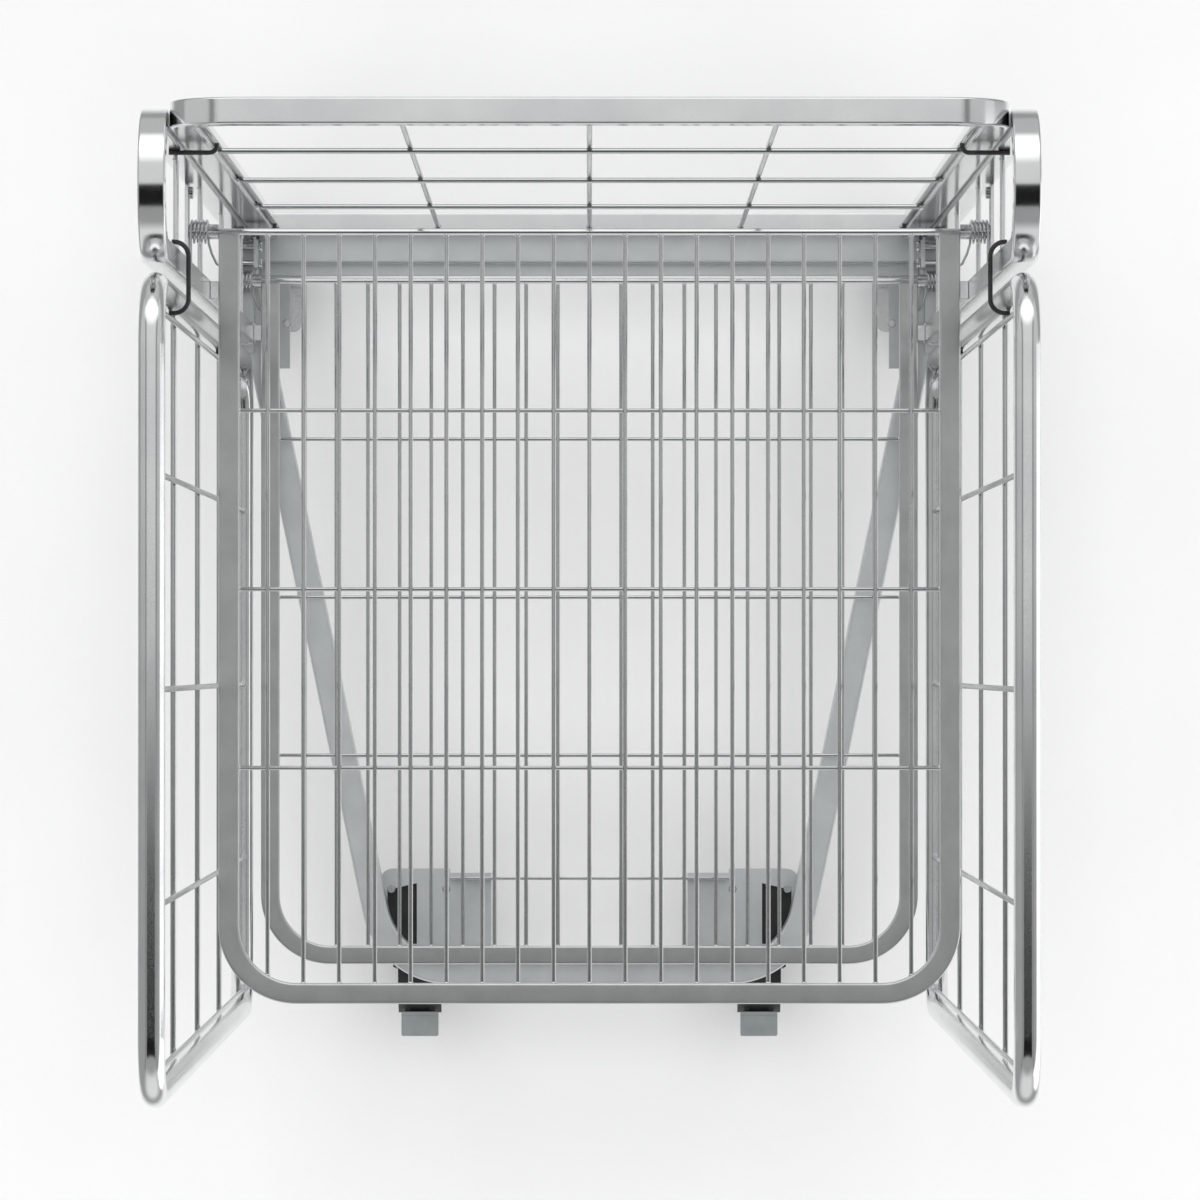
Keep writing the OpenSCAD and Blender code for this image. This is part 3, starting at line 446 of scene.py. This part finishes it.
def frame_welds(shape):
    low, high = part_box("rear_panel_frame")
    level_y = low.y + MESH_INSET + MESH_WIRE / 2
    panel_y = (low.y + high.y) / 2
    for z in MESH_LEVELS:
        for x in (low.x + PANEL_TUBE, high.x - PANEL_TUBE):
            bead(shape, Vector((x, level_y, z)), X_AXIS, MESH_WIRE)
    for k in MESH_COLUMNS:
        for z in (low.z + PANEL_BAR_RISE + PANEL_TUBE / 2, high.z - PANEL_TUBE):
            bead(shape, Vector((k * PANEL_WIRE_PITCH, level_y + 2 * MESH_LAYER, z)), Z_AXIS, MESH_WIRE)
    for x in (low.x + PANEL_TUBE / 2, high.x - PANEL_TUBE / 2):
        foot_bead(shape, Vector((x, panel_y, low.z)), PANEL_TUBE, PANEL_TUBE, Y_AXIS)
    for side_name, side in SIDES.items():
        low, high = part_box(f"upright_{side_name}")
        x = (low.x + high.x) / 2
        front, rear = low.y + UPRIGHT_D / 2, high.y - UPRIGHT_D / 2
        for y in (front, rear):
            foot_bead(shape, Vector((x, y, low.z)), high.x - low.x, UPRIGHT_D, side * X_AXIS)
            for z in MESH_LEVELS:
                edge = y + math.copysign(UPRIGHT_D / 2, (front + rear) / 2 - y)
                bead(shape, Vector((x, edge, z)), Y_AXIS, MESH_WIRE)


for level in ("shelf", "deck"):
    add_piece(f"{level}_welds", lambda shape: grid_welds(shape, level), level, "zinc")
for side_name in SIDES:
    add_piece(f"gate_welds_{side_name}", lambda shape: gate_welds(shape, side_name),
              f"gate_{side_name}", "zinc")
add_piece("frame_welds", frame_welds, "frame", "zinc")


# Seams between the rear panel's legs and the uprights, and lips that carry the pedal pads on over their ears

SEAM_INSET = 0.002
SEAM_DEPTH = 0.012
SEAM_TOP = 0.080
SEAM_CORNER_R = 0.0002
LIP_T = 0.0018
LIP_REACH = 0.0035
LIP_LAP = 0.003
LIP_CORNER_R = 0.0004


def seam_mesh(shape, side):
    panel_low, panel_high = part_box("rear_panel_frame")
    upright_low, upright_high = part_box(f"upright_{side}")
    inner = (upright_high.x, panel_low.x) if side == "left" else (panel_high.x, upright_low.x)
    x = sum(inner) / 2
    y = panel_low.y + SEAM_INSET + SEAM_DEPTH / 2
    section = rectangle_section(abs(inner[1] - inner[0]), SEAM_DEPTH, SEAM_CORNER_R)
    ends = [(Vector((x, y, z)), Z_AXIS) for z in (upright_low.z, panel_high.z - SEAM_TOP)]
    sweep(shape, ends, Y_AXIS, section)


def lip_mesh(shape, side):
    low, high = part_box(f"brake_pedal_{side}")
    y = high.y + (LIP_REACH - LIP_LAP) / 2
    z = high.z - LIP_T / 2 - LIP_CORNER_R
    section = rectangle_section(LIP_REACH + LIP_LAP, LIP_T, LIP_CORNER_R)
    ends = [(Vector((x, y, z)), X_AXIS) for x in (low.x, high.x)]
    sweep(shape, ends, Z_AXIS, section)


for side_name in SIDES:
    seam = add_piece(f"panel_seam_{side_name}", lambda shape: seam_mesh(shape, side_name), "frame", "zinc")
    keep_flats(seam)
    lip = add_piece(f"pedal_lip_{side_name}", lambda shape: lip_mesh(shape, side_name),
                    f"pedal_{side_name}", "pedal")
    keep_flats(lip)


# Torsion springs, one wire each, in the same place as the CAD solid and with one more turn

SPRING_WIRE = 0.0024
SPRING_OD = 0.022
SPRING_TURNS = 4.5
COIL_LENGTH = 0.0151
SPRING_ARM = 0.034
ARM_SLOPE = 0.006
ARM_LEAD = 0.010
ARM_GAP = 0.0003
COIL_STEPS = 16
COIL_SMOOTHING = 2


def spring_route(side, level, hinge):
    """Centre points of a spring, from the arm under the rail to the arm on the front leg."""
    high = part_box(f"{level}_spring_right")[1]
    rail_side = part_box(f"{level}_frame")[1].x
    radius = (SPRING_OD - SPRING_WIRE) / 2
    out_x = high.x - SPRING_WIRE / 2
    in_x = out_x - COIL_LENGTH
    arm_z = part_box(f"{level}_frame")[0].z - hinge.z - ARM_GAP - SPRING_WIRE / 2
    leg_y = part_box("upright_right")[0].y + UPRIGHT_D + ARM_GAP - hinge.y
    start_x = rail_side - RAIL_W / 2
    lead = [(start_x - SPRING_WIRE, -SPRING_ARM, arm_z), (start_x, -SPRING_ARM, arm_z),
            (rail_side + SPRING_WIRE, ARM_SLOPE - SPRING_ARM, -radius), (in_x, -ARM_LEAD, -radius)]
    steps = int(COIL_STEPS * SPRING_TURNS)
    coil = []
    for i in range(steps + 1):
        turn = -math.pi / 2 + 2 * math.pi * SPRING_TURNS * i / steps
        coil.append((in_x + COIL_LENGTH * i / steps, radius * math.cos(turn), radius * math.sin(turn)))
    tail = [(out_x, -ARM_LEAD, radius), (out_x, leg_y + SPRING_WIRE, radius), (out_x, leg_y, radius)]
    return [Vector((side * x, hinge.y + y, hinge.z + z)) for x, y, z in lead + coil + tail]


for level in ("shelf", "deck"):
    for side_name, side in SIDES.items():
        route = smooth_path(spring_route(side, level, JOINT_POS[f"{level}_fold"]), COIL_SMOOTHING)
        spring = add_piece(f"{level}_spring_wire_{side_name}",
                           lambda shape: free_wire(shape, route, SPRING_WIRE / 2), "frame", "spring")
        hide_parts(f"{level}_spring_{side_name}")


# Rounded edges on the plates, tubes and castings: the CAD meshes stay as they are

EDGE_RADII = {
    "base_tube": 0.003, "rear_crossbeam": 0.001, "tie_strip": 0.0006, "front_gusset_left": 0.0008,
    "front_gusset_right": 0.0008, "rear_gusset_left": 0.0008, "rear_gusset_right": 0.0008,
    "foot_plates": 0.0008, "shelf_hinge_straps": 0.0008, "deck_hinge_straps": 0.0008,
    "deck_brackets": 0.0008, "stop_lugs": 0.0006, "front_plate_left": 0.0008, "front_plate_right": 0.0008,
    "front_fork_left": 0.001, "front_fork_right": 0.001, "rear_bracket_left": 0.0008,
    "rear_bracket_right": 0.0008, "brake_pedal_left": 0.001, "brake_pedal_right": 0.001,
    "hinge_pins": 0.0006, "deck_buffers": 0.001, "caster_bolts": 0.0004, "front_hub_left": 0.0008,
    "front_hub_right": 0.0008, "rear_hub_left": 0.0008, "rear_hub_right": 0.0008,
    "front_axle_left": 0.0005, "front_axle_right": 0.0005, "rear_axles": 0.0005,
}
FLAT_ANGLE = math.radians(0.5)
EDGE_ANGLE = math.radians(35)
EDGE_SEGMENTS = 2


def round_edges(piece, radius):
    weld = piece.modifiers.new("join", "WELD")
    weld.merge_threshold = SAME_POINT
    flat = piece.modifiers.new("flat", "DECIMATE")
    flat.decimate_type = "DISSOLVE"
    flat.angle_limit = FLAT_ANGLE
    edge = piece.modifiers.new("edge", "BEVEL")
    edge.width = radius
    edge.segments = EDGE_SEGMENTS
    edge.limit_method = "ANGLE"
    edge.angle_limit = EDGE_ANGLE
    edge.harden_normals = True


for node_name, edge_radius in EDGE_RADII.items():
    round_edges(NODES[node_name], edge_radius)


# Floor, light and camera

FLOOR_SIZE = 5.0
FLOOR_TONE = (0.91, 0.93)
FLOOR_CLOUD = 3.0
FLOOR_EDGE = (1.3, 2.4)
FLOOR_ROUGHNESS = 0.9
FLOOR_SPECULAR = 0.1


def make_floor():
    """A plain pale floor that fades out into the white."""
    mesh = bpy.data.meshes.new("floor")
    half = FLOOR_SIZE / 2
    corners = [(-half, -half, 0), (half, -half, 0), (half, half, 0), (-half, half, 0)]
    mesh.from_pydata(corners, [], [(0, 1, 2, 3)])
    floor = bpy.data.objects.new("floor", mesh)
    bpy.context.scene.collection.objects.link(floor)
    material, tree, shader = new_material("floor")
    place = tree.nodes.new("ShaderNodeTexCoord")
    away = tree.nodes.new("ShaderNodeVectorMath")
    away.operation = "LENGTH"
    tree.links.new(place.outputs["Object"], away.inputs[0])
    tree.links.new(between(tree, noise(tree, FLOOR_CLOUD), *FLOOR_TONE), shader.inputs["Base Color"])
    tree.links.new(between(tree, away.outputs["Value"], 1.0, 0.0, *FLOOR_EDGE), shader.inputs["Alpha"])
    shader.inputs["Roughness"].default_value = FLOOR_ROUGHNESS
    shader.inputs["Specular IOR Level"].default_value = FLOOR_SPECULAR
    mesh.materials.append(material)


def add_softbox(name, place, target, size, radiance):
    """A rectangular lamp of an even brightness that metal doesn't mirror."""
    lamp = bpy.data.lights.new(name, "AREA")
    lamp.shape = "RECTANGLE"
    lamp.size, lamp.size_y = size
    lamp.energy = radiance * math.pi * size[0] * size[1]
    holder = bpy.data.objects.new(name, lamp)
    holder.location = place
    holder.rotation_euler = (target - place).to_track_quat("-Z", "Y").to_euler()
    holder.visible_camera = False
    holder.visible_glossy = False
    bpy.context.scene.collection.objects.link(holder)


# The surroundings: even grey, then panels laid over it in this order. Each panel has the low and high of
# its direction's X, Y and Z, its brightness and the softness of its edges.
STUDIO_GREY = 0.38
STUDIO_WHITE = (0.95, 0.95, 0.95, 1)
STUDIO_PANELS = [
    ((-1.1, 1.1), (0.02, 0.75), (-0.2, 1.1), 0.64, 0.03),
    ((-0.57, 0.57), (-0.02, 0.62), (0.3, 1.1), 0.78, 0.03),
    ((-0.76, -0.65), (-0.8, 0.62), (0.2, 1.1), 0.27, 0.02),
    ((0.65, 0.76), (-0.8, 0.62), (0.2, 1.1), 0.27, 0.02),
    ((-0.9, 0.9), (0.62, 1.2), (0.17, 1.2), 1.60, 0.10),
    ((-0.57, 0.57), (-0.56, -0.02), (0.5, 1.1), 0.012, 0.03),
    ((-1.1, 1.1), (-1.2, -0.80), (-0.5, 0.40), 0.85, 0.12),
    ((-1.1, 1.1), (0.78, 1.2), (-0.5, 0.10), 0.58, 0.06),
    ((0.60, 1.1), (-0.75, 0.06), (-0.75, 0.18), 1.50, 0.02),
]


def inside_ranges(tree, split, ranges, soft):
    """A mask that is 1 where a direction lies inside the ranges of X, Y and Z."""
    mask = None
    for axis, (low, high) in zip("XYZ", ranges):
        rise = between(tree, split.outputs[axis], 0.0, 1.0, low - soft, low + soft)
        fall = between(tree, split.outputs[axis], 1.0, 0.0, high - soft, high + soft)
        inside = product(tree, rise, fall)
        mask = inside if mask is None else product(tree, mask, inside)
    return mask


def make_world():
    """Grey studio surroundings with panels; the camera sees white."""
    world = bpy.data.worlds.new("studio")
    bpy.context.scene.world = world
    world.use_nodes = True
    tree = world.node_tree
    tree.nodes.clear()
    place = tree.nodes.new("ShaderNodeTexCoord")
    split = tree.nodes.new("ShaderNodeSeparateXYZ")
    tree.links.new(place.outputs["Generated"], split.inputs["Vector"])
    level = None
    for *ranges, brightness, soft in STUDIO_PANELS:
        blend = tree.nodes.new("ShaderNodeMix")
        blend.inputs["A"].default_value = STUDIO_GREY
        blend.inputs["B"].default_value = brightness
        tree.links.new(inside_ranges(tree, split, ranges, soft), blend.inputs["Factor"])
        if level is not None:
            tree.links.new(level, blend.inputs["A"])
        level = blend.outputs["Result"]
    around = tree.nodes.new("ShaderNodeBackground")
    tree.links.new(level, around.inputs["Color"])
    white = tree.nodes.new("ShaderNodeBackground")
    white.inputs["Color"].default_value = STUDIO_WHITE
    path = tree.nodes.new("ShaderNodeLightPath")
    mix = tree.nodes.new("ShaderNodeMixShader")
    out = tree.nodes.new("ShaderNodeOutputWorld")
    tree.links.new(path.outputs["Is Camera Ray"], mix.inputs["Fac"])
    tree.links.new(around.outputs["Background"], mix.inputs[1])
    tree.links.new(white.outputs["Background"], mix.inputs[2])
    tree.links.new(mix.outputs["Shader"], out.inputs["Surface"])


def make_camera():
    data = bpy.data.cameras.new("camera")
    data.lens = CAMERA_LENS
    data.sensor_width = SENSOR_WIDTH
    data.clip_end = CAMERA_REACH
    camera = bpy.data.objects.new("camera", data)
    camera.location = CAMERA_PLACE
    back = (CAMERA_PLACE - CAMERA_TARGET).normalized()
    right = Y_AXIS.cross(back).normalized()
    up = back.cross(right)
    camera.rotation_euler = Matrix((right, up, back)).transposed().to_euler()
    bpy.context.scene.collection.objects.link(camera)
    bpy.context.scene.camera = camera


LAMP_PLACE = Vector((0, -2.0, 7.0))
LAMP_TARGET = Vector((0, -2.0, 0))
LAMP_SIZE = (10.0, 10.0)
LAMP_RADIANCE = 1.46

make_floor()
make_world()
make_camera()
add_softbox("overhead", LAMP_PLACE, LAMP_TARGET, LAMP_SIZE, LAMP_RADIANCE)

bpy.context.scene.view_settings.view_transform = "Standard"
